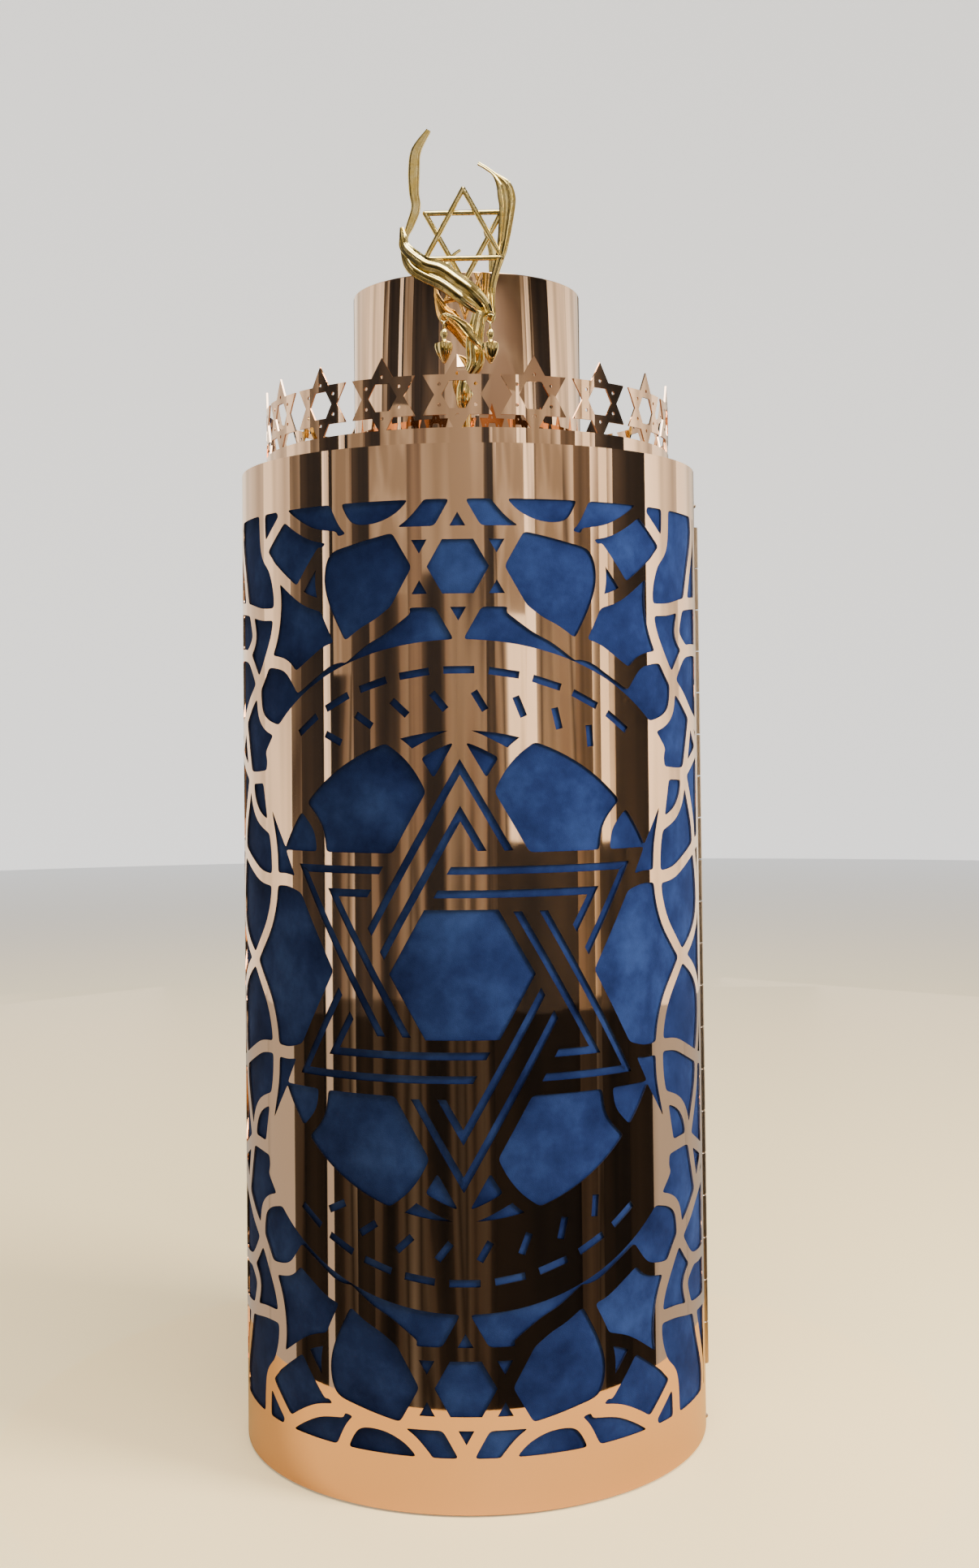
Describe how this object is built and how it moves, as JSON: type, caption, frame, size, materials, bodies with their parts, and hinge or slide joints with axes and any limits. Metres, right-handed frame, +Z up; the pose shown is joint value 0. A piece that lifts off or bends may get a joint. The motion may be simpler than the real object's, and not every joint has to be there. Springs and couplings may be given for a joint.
{
  "type": "torah case",
  "caption": "Upright cylindrical torah case that opens on a hinge: velvet wall under a cut mirror metal lattice, with a crown strip of cut stars, a turret and cast finials.",
  "frame": {"origin": "on the floor, below the middle of the closed case", "axes": "+Z up, the front faces -Y, the hinge is at +X"},
  "size_m": [0.3329, 0.325, 0.9054],
  "materials": {
    "case_wood": "plain sealed wood, mostly hidden under the velvet",
    "blue_velvet": "dark blue velvet, soft short nap",
    "rose_gold_mirror": "mirror polished, rose gold",
    "polished_gold": "cast and polished, bright yellow gold",
    "hinge_brass": "dull brushed brass"
  },
  "bodies": {
    "rear": {"rear_shell": "case_wood", "rear_velvet": "blue_velvet", "rear_fretwork": "rose_gold_mirror", "rear_star_crown": "rose_gold_mirror", "rear_turret": "rose_gold_mirror", "rear_hinge_leaf": "hinge_brass", "rear_finial": "polished_gold", "rear_bell_left": "polished_gold", "rear_bell_right": "polished_gold"},
    "front": {"front_shell": "case_wood", "front_velvet": "blue_velvet", "front_fretwork": "rose_gold_mirror", "front_star_crown": "rose_gold_mirror", "front_turret": "rose_gold_mirror", "front_hinge_leaf": "hinge_brass", "front_finial": "polished_gold", "front_bell_left": "polished_gold", "front_bell_right": "polished_gold"}
  },
  "joints": [
    {"name": "case_hinge", "type": "hinge", "parent": "rear", "child": "front", "pos_m": [0.1655, 0, 0], "axis": [0, 0, 1], "range_deg": [0, 170]}
  ]
}
